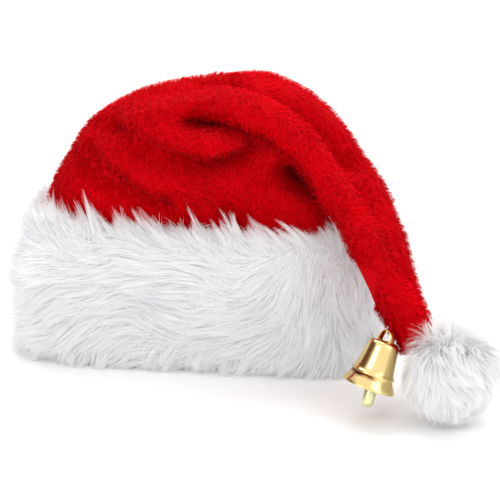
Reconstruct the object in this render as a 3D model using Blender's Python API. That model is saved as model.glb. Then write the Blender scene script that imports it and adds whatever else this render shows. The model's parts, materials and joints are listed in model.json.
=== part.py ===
"""Santa hat: a folded cone of red plush on a band of deep white fur, with a pompom and a small bell on its tail.

Metres, +Z up. The hat stands on its band. The band's long side lies along X, the wearer's front is -Y,
and the tail falls over the +X end towards the front. The origin is the middle of the box's floor.
"""

import math
import random

import bmesh
import bpy
from mathutils import Matrix, Vector

# Band of fur round the head opening
HEAD_LENGTH = 0.238
HEAD_DEPTH = 0.094
BAND_HEIGHT = 0.108
BAND_LIFT = 0.008
BAND_PILE = 0.020
BAND_SQUARENESS = 4.5
BAND_LOCK = 0.010
BAND_TOP_LOCK = 0.014
LOCK_LEAN = 1.7
TOP_LOCK_LEAN = 1.2
LEAN_SPREAD = (0.6, 1.3)
LENGTH_SPREAD = (0.7, 1.1)
BAND_FRONT_STEPS = 30
BAND_BACK_STEPS = 26
BASE_LIP = 0.004

# Crown of plush cloth
CLOTH = 0.003
HEM = 0.014
CROWN_RISE = 0.104
CROWN_DEPTH = 0.120
SHOULDER_OUT = 0.048
CROWN_FRONT_STEPS = 28
CROWN_BACK_STEPS = 14
FOLD_DEPTH = 0.010
FOLD_WIDTH = 0.008
FOLDS_FROM = 0.12
FOLD_FACING = 0.15
FOLD_FADE = 0.5
VALLEY_AT = -0.15
VALLEY_WIDTH = 0.30

# Tail, and the pompom on its tip
TAIL_THICK = 0.054
TAIL_BROAD = 0.116
TIP_RADIUS = 0.0135
POMPOM_RADIUS = 0.0355
POMPOM_LOCK = 0.008
POMPOM_SEAT = 36.0
POMPOM_SWIRL = Vector((0.09, -0.18, 0.10))
POMPOM_OUT = 0.059
POMPOM_FORWARD = 0.063
POMPOM_REST = 0.0015
TIP_SEAT_UP = 38.0
TIP_SEAT_TURN = 156.0
TIP_LEAN = 22.0

# Bell, its rings, its clapper and the thread that ties it on
BELL_MOUTH = 0.039
BELL_BODY = 0.0345
BELL_WALL = 0.0011
BELL_TILT = 19.0
BELL_LEAN = 14.0
BELL_STEPS = 20
LOOP_RADIUS = 0.0050
LOOP_WIRE = 0.0008
INNER_RING_RADIUS = 0.0026
INNER_RING_WIRE = 0.0006
SOLDER = 0.5
CLAPPER_BALL = 0.0045
CLAPPER_ROD = 0.0007
CLAPPER_REACH = 0.0120
CLAPPER_STRETCH = 1.3
CLAPPER_EYE = 0.0017
CLAPPER_WIRE = 0.0005
THREAD_RADIUS = 0.0005
THREAD_LOOP = 0.0024
HOOK_ROUND = -82.0
HOOK_RINGS = 2
RING_STEPS = 12
WIRE_SIDES = 6
CLAPPER_LEAN = 5.0

# Clearances between pieces, and the fineness of the outlines
GAP = 0.0003
SEAM = 0.0010
FINE_STEPS = 240

# What follows from the sizes above
HALF_LENGTH = HEAD_LENGTH / 2
HALF_DEPTH = HEAD_DEPTH / 2
BAND_TOP = BAND_HEIGHT
SHOULDER = Vector((SHOULDER_OUT, 0.0, BAND_TOP + 0.73 * CROWN_RISE))
POMPOM_CENTRE = Vector((
    HALF_LENGTH + BAND_PILE + POMPOM_OUT,
    -HALF_DEPTH - BAND_PILE - POMPOM_FORWARD,
    POMPOM_RADIUS - POMPOM_REST,
))


def direction(up, turn):
    """Unit vector at an angle above the floor, turned anticlockwise from +X, in degrees."""
    up, turn = math.radians(up), math.radians(turn)
    return Vector((math.cos(up) * math.cos(turn), math.cos(up) * math.sin(turn), math.sin(up)))


PIVOT_Z = -BELL_WALL - 2 * INNER_RING_RADIUS + INNER_RING_WIRE * SOLDER
TIP_STAND = (POMPOM_RADIUS - POMPOM_LOCK + GAP) / math.cos(math.radians(TIP_LEAN))
TIP = POMPOM_CENTRE + TIP_STAND * direction(TIP_SEAT_UP, TIP_SEAT_TURN)

# Crown below the shoulder. x, wide: shares of HALF_LENGTH. z: share of CROWN_RISE above the band.
# deep: share of CROWN_DEPTH / 2. tilt: degrees that the section's right side drops. square: its exponent.
# rings: how many rings lead on to the next row.
CROWN_ROWS = [
    dict(x=0.000, z=-HEM / CROWN_RISE, tilt=0.0, wide=1.000, deep=1.00, square=4.5, hem=1, dent=0.0, rings=1),
    dict(x=0.000, z=0.000, tilt=0.0, wide=1.000, deep=1.00, square=4.5, hem=1, dent=0.0, rings=2),
    dict(x=-0.017, z=0.125, tilt=0.5, wide=0.945, deep=0.81, square=3.6, hem=0, dent=0.0, rings=2),
    dict(x=-0.038, z=0.250, tilt=1.6, wide=0.878, deep=0.91, square=2.9, hem=0, dent=0.0, rings=3),
    dict(x=-0.050, z=0.375, tilt=5.0, wide=0.776, deep=0.97, square=2.6, hem=0, dent=0.0, rings=3),
    dict(x=0.004, z=0.503, tilt=13.3, wide=0.703, deep=1.00, square=2.4, hem=0, dent=0.0, rings=3),
    dict(x=0.118, z=0.620, tilt=22.8, wide=0.574, deep=1.00, square=2.3, hem=0, dent=0.2, rings=3),
    dict(x=0.273, z=0.689, tilt=35.2, wide=0.426, deep=0.98, square=2.3, hem=0, dent=0.8, rings=3),
]

# Tail. x, y, z: shares of the way from the shoulder to the tip. thick: share of TAIL_THICK / 2.
# broad: share of TAIL_BROAD / 2. heading: degrees that the section turns to the front. dent: share of FOLD_DEPTH.
TAIL_ROWS = [
    dict(x=0.042, y=0.00, z=0.00, tilt=55.0, heading=-3.0, thick=1.33, broad=1.00, square=2.3, dent=1.2, rings=3),
    dict(x=0.179, y=0.02, z=0.02, tilt=73.7, heading=-8.0, thick=1.02, broad=0.93, square=2.3, dent=1.3, rings=3),
    dict(x=0.332, y=0.05, z=0.12, tilt=93.8, heading=-15.0, thick=0.72, broad=0.78, square=2.3, dent=1.2, rings=3),
    dict(x=0.460, y=0.13, z=0.28, tilt=118.0, heading=-25.0, thick=0.58, broad=0.60, square=2.3, dent=1.1, rings=3),
    dict(x=0.628, y=0.36, z=0.42, tilt=122.0, heading=-29.0, thick=0.58, broad=0.52, square=2.2, dent=0.9, rings=2),
    dict(x=0.722, y=0.57, z=0.54, tilt=126.0, heading=-32.0, thick=0.58, broad=0.44, square=2.2, dent=0.5, rings=2),
    dict(x=0.810, y=0.75, z=0.67, tilt=133.0, heading=-36.0, thick=0.58, broad=0.36, square=2.1, dent=0.3, rings=2),
    dict(x=0.884, y=0.89, z=0.81, tilt=142.0, heading=-32.0, thick=0.54, broad=0.29, square=2.0, dent=0.1, rings=3),
]

# Folds on the crown's front. points: x as a share of HALF_LENGTH, z as a share of CROWN_RISE above the band.
# depth: share of FOLD_DEPTH, below zero where the cloth swells. width: share of FOLD_WIDTH.
FOLDS = [
    dict(name="tuck", depth=1.6, width=0.70,
         points=[(0.05, 0.81), (0.18, 0.80), (0.38, 0.72), (0.48, 0.67)]),
    dict(name="upper roll", depth=-0.7, width=1.6,
         points=[(-0.15, 0.93), (0.15, 0.92), (0.42, 0.84), (0.72, 0.66)]),
    dict(name="lip", depth=-0.7, width=1.1,
         points=[(-0.38, 0.72), (-0.05, 0.62), (0.22, 0.62), (0.40, 0.66)]),
    dict(name="under crease", depth=1.1, width=0.75,
         points=[(-0.56, 0.72), (-0.36, 0.58), (-0.04, 0.48), (0.20, 0.49), (0.36, 0.56), (0.44, 0.61)]),
    dict(name="lower swell", depth=-0.5, width=1.6,
         points=[(-0.62, 0.55), (-0.25, 0.36), (0.10, 0.32), (0.28, 0.32)]),
    dict(name="side crease", depth=0.7, width=0.9,
         points=[(-0.74, 0.42), (-0.52, 0.28), (-0.28, 0.14)]),
]

# Band's outside, from its floor up. height: share of the height there. out: share of BAND_PILE.
BAND_ROWS = [
    dict(height=0.00, out=0.62),
    dict(height=0.05, out=0.90),
    dict(height=0.20, out=1.00),
    dict(height=0.36, out=1.00),
    dict(height=0.52, out=0.98),
    dict(height=0.68, out=0.92),
    dict(height=0.82, out=0.74),
    dict(height=0.94, out=0.46),
]

# Bell's outside. down: share of BELL_BODY below its top. out: share of the mouth's radius.
BELL_ROWS = [
    dict(down=0.000, out=0.200),
    dict(down=0.012, out=0.340),
    dict(down=0.035, out=0.470),
    dict(down=0.080, out=0.548),
    dict(down=0.130, out=0.578),
    dict(down=0.320, out=0.628),
    dict(down=0.520, out=0.690),
    dict(down=0.670, out=0.748),
    dict(down=0.700, out=0.790),
    dict(down=0.740, out=0.792),
    dict(down=0.765, out=0.778),
    dict(down=0.860, out=0.872),
    dict(down=0.965, out=0.985),
    dict(down=1.000, out=1.000),
]


def clear_scene():
    for obj in list(bpy.data.objects):
        bpy.data.objects.remove(obj)


def finish_material(name, colour, roughness, metallic=0.0):
    material = bpy.data.materials.new(name)
    material.use_nodes = True
    shader = material.node_tree.nodes["Principled BSDF"]
    shader.inputs["Base Color"].default_value = (*colour, 1.0)
    shader.inputs["Roughness"].default_value = roughness
    shader.inputs["Metallic"].default_value = metallic
    return material


def object_from(bm, name, material, smooth_angle=None):
    bmesh.ops.recalc_face_normals(bm, faces=bm.faces)
    mesh = bpy.data.meshes.new(name)
    bm.to_mesh(mesh)
    bm.free()
    mesh.materials.append(material)
    if smooth_angle is not None:
        mesh.shade_smooth()
        mesh.set_sharp_from_angle(angle=math.radians(smooth_angle))
    obj = bpy.data.objects.new(name, mesh)
    bpy.context.collection.objects.link(obj)
    return obj


def union(obj, other):
    """Joins a helper to obj with a Boolean and hides the helper."""
    other.hide_render = True
    other.display_type = "WIRE"
    modifier = obj.modifiers.new("join_" + other.name, "BOOLEAN")
    modifier.operation = "UNION"
    modifier.solver = "EXACT"
    modifier.object = other
    return obj


def squared(value, exponent):
    """Cosine or sine turned into a superellipse coordinate."""
    return math.copysign(abs(value) ** (2.0 / exponent), value)


def smooth_rows(rows):
    """Rows with each one's number of rings led on to the next, every column on a Catmull-Rom curve."""
    made = []
    for i in range(len(rows) - 1):
        around = [rows[max(i - 1, 0)], rows[i], rows[i + 1], rows[min(i + 2, len(rows) - 1)]]
        for k in range(rows[i]["rings"]):
            t = k / rows[i]["rings"]
            made.append({key: catmull(*(row[key] for row in around), t) for key in rows[0]})
    made.append(dict(rows[-1]))
    return made


def catmull(a, b, c, d, t):
    return 0.5 * (2 * b + (c - a) * t + (2 * a - 5 * b + 4 * c - d) * t * t + (3 * b - a - 3 * c + d) * t ** 3)


def even_plan(across, deep, exponent, front_steps, back_steps):
    """Points round a superellipse, evenly spaced along its back half (+) and along its front half (-)."""
    plan = []
    for start, count in ((0.0, back_steps), (math.pi, front_steps)):
        fine = []
        for k in range(FINE_STEPS + 1):
            angle = start + math.pi * k / FINE_STEPS
            fine.append((squared(math.cos(angle), exponent), squared(math.sin(angle), exponent)))
        lengths = [0.0]
        for (ax, ay), (bx, by) in zip(fine, fine[1:]):
            lengths.append(lengths[-1] + math.hypot((bx - ax) * across, (by - ay) * deep))
        at = 0
        for k in range(count):
            wanted = lengths[-1] * k / count
            while lengths[at + 1] < wanted:
                at += 1
            share = (wanted - lengths[at]) / (lengths[at + 1] - lengths[at])
            plan.append(tuple(p + share * (q - p) for p, q in zip(fine[at], fine[at + 1])))
    return plan


def crown_sections():
    """Every section from the hem to the tip, in metres and degrees."""
    sections = []
    inside_length = HALF_LENGTH - SEAM
    inside_depth = HALF_DEPTH - SEAM
    for row in CROWN_ROWS:
        deep = row["deep"] * CROWN_DEPTH / 2
        sections.append(dict(
            centre=Vector((row["x"] * HALF_LENGTH, 0.0, BAND_TOP + row["z"] * CROWN_RISE)),
            tilt=row["tilt"],
            heading=0.0,
            across=row["wide"] * inside_length,
            deep=inside_depth if row["hem"] else deep,
            square=row["square"],
            dent=row["dent"] * FOLD_DEPTH,
            rings=row["rings"],
        ))
    way = TIP - SHOULDER
    for row in TAIL_ROWS:
        centre = SHOULDER + Vector((row["x"] * way.x, row["y"] * way.y, row["z"] * way.z))
        sections.append(dict(
            centre=centre,
            tilt=row["tilt"],
            heading=row["heading"],
            across=row["thick"] * TAIL_THICK / 2,
            deep=row["broad"] * TAIL_BROAD / 2,
            square=row["square"],
            dent=row["dent"] * FOLD_DEPTH,
            rings=row["rings"],
        ))
    sections.append(dict(
        centre=TIP.copy(), tilt=90.0 + TIP_SEAT_UP + TIP_LEAN, heading=TIP_SEAT_TURN - 180.0,
        across=TIP_RADIUS, deep=TIP_RADIUS, square=2.0, dent=0.0, rings=0,
    ))
    return sections


def section_axes(section):
    """Unit vectors across a section: to its right or lower side, and to its back."""
    tilt, heading = math.radians(section["tilt"]), math.radians(section["heading"])
    ahead = Vector((math.cos(heading), math.sin(heading), 0.0))
    return math.cos(tilt) * ahead - Vector((0.0, 0.0, math.sin(tilt))), Vector((-ahead.y, ahead.x, 0.0))


def section_ring(section):
    """Points round one section: first its right or lower side, then back, left or top, and front."""
    inner, back = section_axes(section)
    points = []
    plan = even_plan(section["across"], section["deep"], section["square"], CROWN_FRONT_STEPS, CROWN_BACK_STEPS)
    for c, s in plan:
        valley = section["dent"] * math.exp(-((s - VALLEY_AT) / VALLEY_WIDTH) ** 2) * max(0.0, -c)
        points.append(section["centre"] + inner * (c * section["across"] + valley) + back * (s * section["deep"]))
    return points


def distance_to_path(x, z, path):
    """Distance in the XZ plane from a point to a run of straight pieces."""
    best = 1.0
    for (ax, az), (bx, bz) in zip(path, path[1:]):
        dx, dz = bx - ax, bz - az
        share = ((x - ax) * dx + (z - az) * dz) / (dx * dx + dz * dz)
        share = min(1.0, max(0.0, share))
        best = min(best, math.hypot(x - ax - share * dx, z - az - share * dz))
    return best


def fold_offset(point):
    """How far the front cloth sinks (+) or swells (-) at a point, from the table of folds."""
    total = 0.0
    for fold in FOLDS:
        path = [(x * HALF_LENGTH, BAND_TOP + z * CROWN_RISE) for x, z in fold["points"]]
        away = distance_to_path(point.x, point.z, path) / (fold["width"] * FOLD_WIDTH)
        total += fold["depth"] * FOLD_DEPTH * math.exp(-away * away / 2)
    return total


def fold_crown(bm):
    """Moves the front cloth in and out along its own normals. The hem inside the band stays as it is."""
    bm.normal_update()
    moves = []
    for vert in bm.verts:
        frontness = min(1.0, max(0.0, (-vert.normal.y - FOLD_FACING) / FOLD_FADE))
        clear_of_band = min(1.0, max(0.0, (vert.co.z - BAND_TOP) / (FOLDS_FROM * CROWN_RISE)))
        share = frontness * clear_of_band
        moves.append((vert, vert.normal * (-fold_offset(vert.co) * share)))
    for vert, move in moves:
        vert.co += move


def build_crown(material):
    """The cone of cloth: rings lofted from the hem to the tip, folded in front, then given its wall."""
    rings = [section_ring(section) for section in smooth_rows(crown_sections())]
    bm = bmesh.new()
    loops = [[bm.verts.new(point) for point in ring] for ring in rings]
    for low, high in zip(loops, loops[1:]):
        for k in range(len(low)):
            after = (k + 1) % len(low)
            bm.faces.new((low[k], low[after], high[after], high[k]))
    cap = bm.faces.new(loops[-1])
    bm.normal_update()
    bmesh.ops.inset_region(bm, faces=[cap], thickness=TIP_RADIUS / 2)
    bmesh.ops.poke(bm, faces=[cap])
    fold_crown(bm)
    crown = object_from(bm, "crown", material, smooth_angle=60)
    wall = crown.modifiers.new("cloth", "SOLIDIFY")
    wall.thickness = CLOTH
    wall.offset = -1.0
    return crown


def band_height(side):
    """The cuff stands a little higher at its -X end, where the crown pulls it up. side: -1 at -X, 1 at +X."""
    return BAND_HEIGHT + BAND_LIFT * max(0.0, -side) ** 2


def comb(point, normal):
    """Way that the band's locks lie: on round the head, up towards the top and down towards the foot."""
    up = point.z / BAND_HEIGHT - 0.5
    return Vector((-normal.y, normal.x, 1.4 * up))


def outwards_and_up(point, normal):
    return Vector((0.5 * point.x / HALF_LENGTH, 0.5 * point.y / HALF_DEPTH, 1.0))


def build_band(material):
    """Fur cuff: a ring with a flat foot, whose outside is drawn out into locks."""
    bm = bmesh.new()
    plan = even_plan(HALF_LENGTH, HALF_DEPTH, BAND_SQUARENESS, BAND_FRONT_STEPS, BAND_BACK_STEPS)

    def loop(out, z_of):
        ring = []
        for c, s in plan:
            ring.append(bm.verts.new((c * (HALF_LENGTH + out), s * (HALF_DEPTH + out), z_of(c))))
        return ring

    loops = []
    for row in BAND_ROWS:
        loops.append(loop(row["out"] * BAND_PILE, lambda c, up=row["height"]: up * band_height(c)))
    loops.append(loop(0.0, lambda c: band_height(c) - BASE_LIP))
    loops.append(loop(0.0, lambda c: 0.0))
    strips = []
    for low, high in zip(loops, loops[1:] + loops[:1]):
        strip = []
        for k in range(len(plan)):
            after = (k + 1) % len(plan)
            strip.append(bm.faces.new((low[k], low[after], high[after], high[k])))
        strips.append(strip)
    bmesh.ops.recalc_face_normals(bm, faces=bm.faces)
    chance = random.Random(7)
    outside = len(BAND_ROWS) - 1
    for level in range(outside):
        draw_locks(bm, strips[level], BAND_LOCK, comb, chance, LOCK_LEAN)
    draw_locks(bm, strips[outside], BAND_TOP_LOCK, outwards_and_up, chance, TOP_LOCK_LEAN)
    return object_from(bm, "fur_band", material, smooth_angle=35)


def draw_locks(bm, faces, length, way, chance, lean):
    """Draws each face out into one pointed lock, which leans the way that the fur is combed, above the floor."""
    for tip in bmesh.ops.poke(bm, faces=faces)["verts"]:
        tip.normal_update()
        out = (tip.normal + lean * chance.uniform(*LEAN_SPREAD) * way(tip.co, tip.normal)).normalized()
        tip.co += out * length * chance.uniform(*LENGTH_SPREAD)
        tip.co.z = max(tip.co.z, 0.0)


def build_pompom(material):
    """Fur ball of locks drawn out of a core, settled on the floor, with a dimple for the tail's tip."""
    bm = bmesh.new()
    core = POMPOM_RADIUS - POMPOM_LOCK
    bmesh.ops.create_icosphere(bm, subdivisions=3, radius=core)
    bm.normal_update()
    seat = direction(TIP_SEAT_UP, TIP_SEAT_TURN)
    chance = random.Random(11)
    outer = [face for face in bm.faces if face.calc_center_median().angle(seat) > math.radians(POMPOM_SEAT)]
    for tip in bmesh.ops.poke(bm, faces=outer)["verts"]:
        away = tip.co.normalized()
        out = (away + away.cross(POMPOM_SWIRL)).normalized()
        tip.co += out * POMPOM_LOCK * chance.uniform(*LENGTH_SPREAD)
    for vert in bm.verts:
        vert.co += POMPOM_CENTRE
        vert.co.z = max(vert.co.z, 0.0)
    return object_from(bm, "pompom", material, smooth_angle=35)


def turned(profile, name, material, steps):
    """Solid of revolution about Z from a closed run of (radius, height) that starts and ends on the axis."""
    bm = bmesh.new()
    verts = [bm.verts.new((radius, 0.0, height)) for radius, height in profile]
    edges = [bm.edges.new(pair) for pair in zip(verts, verts[1:])]
    bmesh.ops.spin(
        bm, geom=verts + edges, cent=(0, 0, 0), axis=(0, 0, 1), angle=2 * math.pi, steps=steps, use_merge=True,
    )
    bmesh.ops.remove_doubles(bm, verts=bm.verts, dist=1e-6)
    return object_from(bm, name, material, smooth_angle=40)


def ring_mesh(name, radius, wire, material):
    """Ring of round wire about its own origin. Its hole faces Y."""
    bm = bmesh.new()
    circle = bmesh.ops.create_circle(bm, segments=WIRE_SIDES, radius=wire)["verts"]
    bmesh.ops.translate(bm, verts=circle, vec=(radius, 0.0, 0.0))
    edges = list({edge for vert in circle for edge in vert.link_edges})
    bmesh.ops.spin(
        bm, geom=circle + edges, cent=(0, 0, 0), axis=(0, 1, 0), angle=2 * math.pi, steps=RING_STEPS, use_merge=True,
    )
    bmesh.ops.remove_doubles(bm, verts=bm.verts, dist=1e-6)
    return object_from(bm, name, material, smooth_angle=60)


def thread_place():
    """Middle of the thread loop that ties the bell on: against the tail's front, a few rings above its tip."""
    angle = math.radians(HOOK_ROUND)
    edges = []
    for section in smooth_rows(crown_sections())[-2 - HOOK_RINGS:-HOOK_RINGS + 1]:
        inner, back = section_axes(section)
        edge = inner * (math.cos(angle) * section["across"]) + back * (math.sin(angle) * section["deep"])
        round_it = back * (math.cos(angle) * section["deep"]) - inner * (math.sin(angle) * section["across"])
        edges.append((section["centre"] + edge, round_it))
    out = edges[1][1].cross(edges[0][0] - edges[2][0]).normalized()
    reach = THREAD_LOOP * math.hypot(out.x, out.z) + THREAD_RADIUS + GAP
    return edges[1][0] + out * math.copysign(reach, -out.y)


def build_bell(metal):
    """Bell with its wall, the hanging loop on top and the clapper's ring inside, soldered into one."""
    mouth = BELL_MOUTH / 2
    outside = [(0.0, 0.0)] + [(row["out"] * mouth, -row["down"] * BELL_BODY) for row in BELL_ROWS]
    inside = [
        (row["out"] * mouth - BELL_WALL, -max(row["down"] * BELL_BODY, BELL_WALL)) for row in BELL_ROWS[1:]
    ]
    profile = outside + inside[::-1] + [(0.0, -BELL_WALL)]
    bell = turned(profile, "bell", metal, BELL_STEPS)
    loop = ring_mesh("bell_loop", LOOP_RADIUS, LOOP_WIRE, metal)
    loop.location.z = LOOP_RADIUS - LOOP_WIRE * SOLDER
    loop.rotation_euler.z = math.pi / 2
    inner = ring_mesh("bell_inner_ring", INNER_RING_RADIUS, INNER_RING_WIRE, metal)
    inner.location.z = -BELL_WALL - INNER_RING_RADIUS + INNER_RING_WIRE * SOLDER
    inner.rotation_euler.z = math.pi / 2
    union(bell, loop)
    union(bell, inner)
    return bell, [loop, inner]


def build_clapper(metal):
    """Clapper about its own swing axis: an eye round the bell's ring, a rod, and a ball below the mouth."""
    ball_at = -(BELL_BODY + CLAPPER_REACH - CLAPPER_BALL * CLAPPER_STRETCH + PIVOT_Z)
    hangs = CLAPPER_EYE - CLAPPER_WIRE - INNER_RING_WIRE - GAP
    eye = ring_mesh("bell_clapper", CLAPPER_EYE, CLAPPER_WIRE, metal)
    eye.data.transform(Matrix.Translation((0, 0, -hangs)))
    bm = bmesh.new()
    top = -CLAPPER_EYE - hangs
    rod = bmesh.ops.create_cone(
        bm, cap_ends=True, segments=10, radius1=CLAPPER_ROD, radius2=CLAPPER_ROD, depth=top - ball_at,
    )["verts"]
    bmesh.ops.translate(bm, verts=rod, vec=(0, 0, (top + ball_at) / 2))
    rod = object_from(bm, "clapper_rod", metal, smooth_angle=40)
    bm = bmesh.new()
    bmesh.ops.create_uvsphere(bm, u_segments=14, v_segments=8, radius=CLAPPER_BALL)
    bmesh.ops.scale(bm, verts=bm.verts, vec=(1, 1, CLAPPER_STRETCH))
    bmesh.ops.translate(bm, verts=bm.verts, vec=(0, 0, ball_at))
    ball = object_from(bm, "clapper_ball", metal, smooth_angle=60)
    union(eye, rod)
    union(eye, ball)
    return eye, [rod, ball]


def build_thread(material, hook):
    """Loop of sewing thread beside the tail's tip, linked through the bell's loop."""
    thread = ring_mesh("bell_thread", THREAD_LOOP, THREAD_RADIUS, material)
    thread.location = hook
    return thread


def stand_on_origin(nodes):
    """Moves everything so that the middle of the box's floor is the origin."""
    bpy.context.view_layer.update()
    graph = bpy.context.evaluated_depsgraph_get()
    corners = [
        obj.matrix_world @ Vector(corner)
        for obj in nodes
        for corner in obj.evaluated_get(graph).bound_box
    ]
    low = Vector(map(min, *corners))
    high = Vector(map(max, *corners))
    return Vector((-(low.x + high.x) / 2, -(low.y + high.y) / 2, -low.z))


def main():
    clear_scene()
    plush = finish_material("red_plush", (0.62, 0.004, 0.012), 0.85)
    fur = finish_material("white_fur", (0.90, 0.90, 0.91), 0.9)
    gold = finish_material("gold_metal", (0.86, 0.58, 0.16), 0.18, metallic=1.0)
    thread = finish_material("red_thread", (0.45, 0.01, 0.02), 0.8)

    crown = build_crown(plush)
    band = build_band(fur)
    pompom = build_pompom(fur)
    bell, bell_helpers = build_bell(gold)
    clapper, clapper_helpers = build_clapper(gold)
    hook = thread_place()
    sewn = build_thread(thread, hook)

    frame = bpy.data.objects.new("hat_frame", None)
    hanger = bpy.data.objects.new("bell_frame", None)
    pivot = bpy.data.objects.new("clapper_pivot", None)
    for empty in (frame, hanger, pivot):
        bpy.context.collection.objects.link(empty)
    for obj in (crown, band, pompom, sewn, hanger):
        obj.parent = frame
    for obj in (bell, *bell_helpers, pivot):
        obj.parent = hanger
    for obj in (clapper, *clapper_helpers):
        obj.parent = pivot
    pivot.location.z = PIVOT_Z
    pivot.rotation_euler.y = -math.radians(CLAPPER_LEAN)
    hanger.rotation_euler = (-math.radians(BELL_LEAN), math.radians(BELL_TILT), 0.0)
    turn = hanger.rotation_euler.to_matrix()
    hangs = THREAD_LOOP - THREAD_RADIUS - LOOP_WIRE - GAP
    hanger.location = hook - Vector((0, 0, hangs)) - turn @ Vector((0, 0, 2 * LOOP_RADIUS - LOOP_WIRE * SOLDER))
    frame.location = stand_on_origin([crown, band, pompom, bell, clapper, sewn])


main()
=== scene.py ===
import json
import math

import bmesh
import bpy
import numpy as np
from mathutils import Euler, Matrix, Vector
from mathutils.kdtree import KDTree


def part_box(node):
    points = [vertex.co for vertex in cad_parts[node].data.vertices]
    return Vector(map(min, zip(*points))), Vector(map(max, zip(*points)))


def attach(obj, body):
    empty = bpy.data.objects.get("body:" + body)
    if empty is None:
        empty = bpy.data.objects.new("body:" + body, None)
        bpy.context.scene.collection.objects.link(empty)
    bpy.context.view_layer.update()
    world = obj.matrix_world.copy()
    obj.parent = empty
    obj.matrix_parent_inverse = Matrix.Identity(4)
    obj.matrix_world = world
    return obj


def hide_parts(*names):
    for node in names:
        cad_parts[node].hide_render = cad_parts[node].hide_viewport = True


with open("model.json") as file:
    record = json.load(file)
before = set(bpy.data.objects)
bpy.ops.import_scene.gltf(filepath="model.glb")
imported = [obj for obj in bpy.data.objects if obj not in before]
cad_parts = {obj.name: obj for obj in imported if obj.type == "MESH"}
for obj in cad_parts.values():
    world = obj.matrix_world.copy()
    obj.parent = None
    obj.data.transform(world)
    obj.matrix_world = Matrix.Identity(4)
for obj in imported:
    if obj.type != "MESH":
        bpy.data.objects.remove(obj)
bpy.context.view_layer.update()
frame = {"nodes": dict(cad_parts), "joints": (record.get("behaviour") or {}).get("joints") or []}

nodes = frame["nodes"]
furShare = 1.0

view = dict(place=(0.1662, -1.1724, 0.4770), looksAt=(-0.0058, 0.0519, 0.0753), lens=120.0, sensor=36.0)


def addCamera(v):
    camera = bpy.data.objects.new("camera", bpy.data.cameras.new("camera"))
    camera.data.lens = v["lens"]
    camera.data.sensor_width = v["sensor"]
    camera.location = v["place"]
    towards = Vector(v["looksAt"]) - Vector(v["place"])
    camera.rotation_euler = towards.to_track_quat("-Z", "Y").to_euler()
    bpy.context.scene.collection.objects.link(camera)
    bpy.context.scene.camera = camera


addCamera(view)
print("camera placed")


def newMaterial(name):
    material = bpy.data.materials.new(name)
    material.use_nodes = True
    tree = material.node_tree
    return material, tree, tree.nodes["Principled BSDF"]


def addNode(tree, kind, **inputs):
    node = tree.nodes.new(kind)
    for key, value in inputs.items():
        node.inputs[key.replace("_", " ")].default_value = value
    return node


def shadeRamp(tree, source, stops):
    # colours from dark to light along a value
    ramp = tree.nodes.new("ShaderNodeValToRGB")
    ramp.color_ramp.elements[0].position, ramp.color_ramp.elements[0].color = stops[0][0], (*stops[0][1], 1)
    ramp.color_ramp.elements[1].position, ramp.color_ramp.elements[1].color = stops[-1][0], (*stops[-1][1], 1)
    for place, colour in stops[1:-1]:
        ramp.color_ramp.elements.new(place).color = (*colour, 1)
    tree.links.new(source, ramp.inputs["Fac"])
    return ramp.outputs["Color"]


def hairMaterial(name, stops, roughness, glow, sheen, sheenTint, specular, paintedGlow=0.0):
    # hair takes its tone from the shade that each strand carries, and lets some light through;
    # paintedGlow is a painted glow, emitted in the hair's lightest colour, standing in for the light that
    # reaches it after many turns between the strands
    material, tree, shader = newMaterial(name)
    shade = tree.nodes.new("ShaderNodeAttribute")
    shade.attribute_name = "shade"
    colour = shadeRamp(tree, shade.outputs["Fac"], stops)
    tree.links.new(colour, shader.inputs["Base Color"])
    shader.inputs["Roughness"].default_value = roughness
    shader.inputs["Specular IOR Level"].default_value = specular
    shader.inputs["Sheen Weight"].default_value = sheen
    shader.inputs["Sheen Tint"].default_value = (*sheenTint, 1)
    # painted glow: the hair emits a little light of its lightest colour
    shader.inputs["Emission Color"].default_value = (*stops[-1][1], 1)
    shader.inputs["Emission Strength"].default_value = paintedGlow
    through = tree.nodes.new("ShaderNodeBsdfTranslucent")
    tree.links.new(colour, through.inputs["Color"])
    mix = tree.nodes.new("ShaderNodeMixShader")
    mix.inputs[0].default_value = glow
    tree.links.new(shader.outputs[0], mix.inputs[1])
    tree.links.new(through.outputs[0], mix.inputs[2])
    tree.links.new(mix.outputs[0], tree.nodes["Material Output"].inputs["Surface"])
    return material


def clothMaterial(name, stops, scale, roughness, bump):
    # knitted backing under the hairs: small mottled loops
    material, tree, shader = newMaterial(name)
    place = tree.nodes.new("ShaderNodeTexCoord")
    noise = addNode(tree, "ShaderNodeTexNoise", Scale=scale, Detail=4.0, Roughness=0.6)
    tree.links.new(place.outputs["Object"], noise.inputs["Vector"])
    colour = shadeRamp(tree, noise.outputs["Fac"], stops)
    tree.links.new(colour, shader.inputs["Base Color"])
    shader.inputs["Roughness"].default_value = roughness
    shader.inputs["Specular IOR Level"].default_value = 0.05
    relief = addNode(tree, "ShaderNodeBump", Strength=bump, Distance=0.0008)
    tree.links.new(noise.outputs["Fac"], relief.inputs["Height"])
    tree.links.new(relief.outputs["Normal"], shader.inputs["Normal"])
    return material


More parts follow.
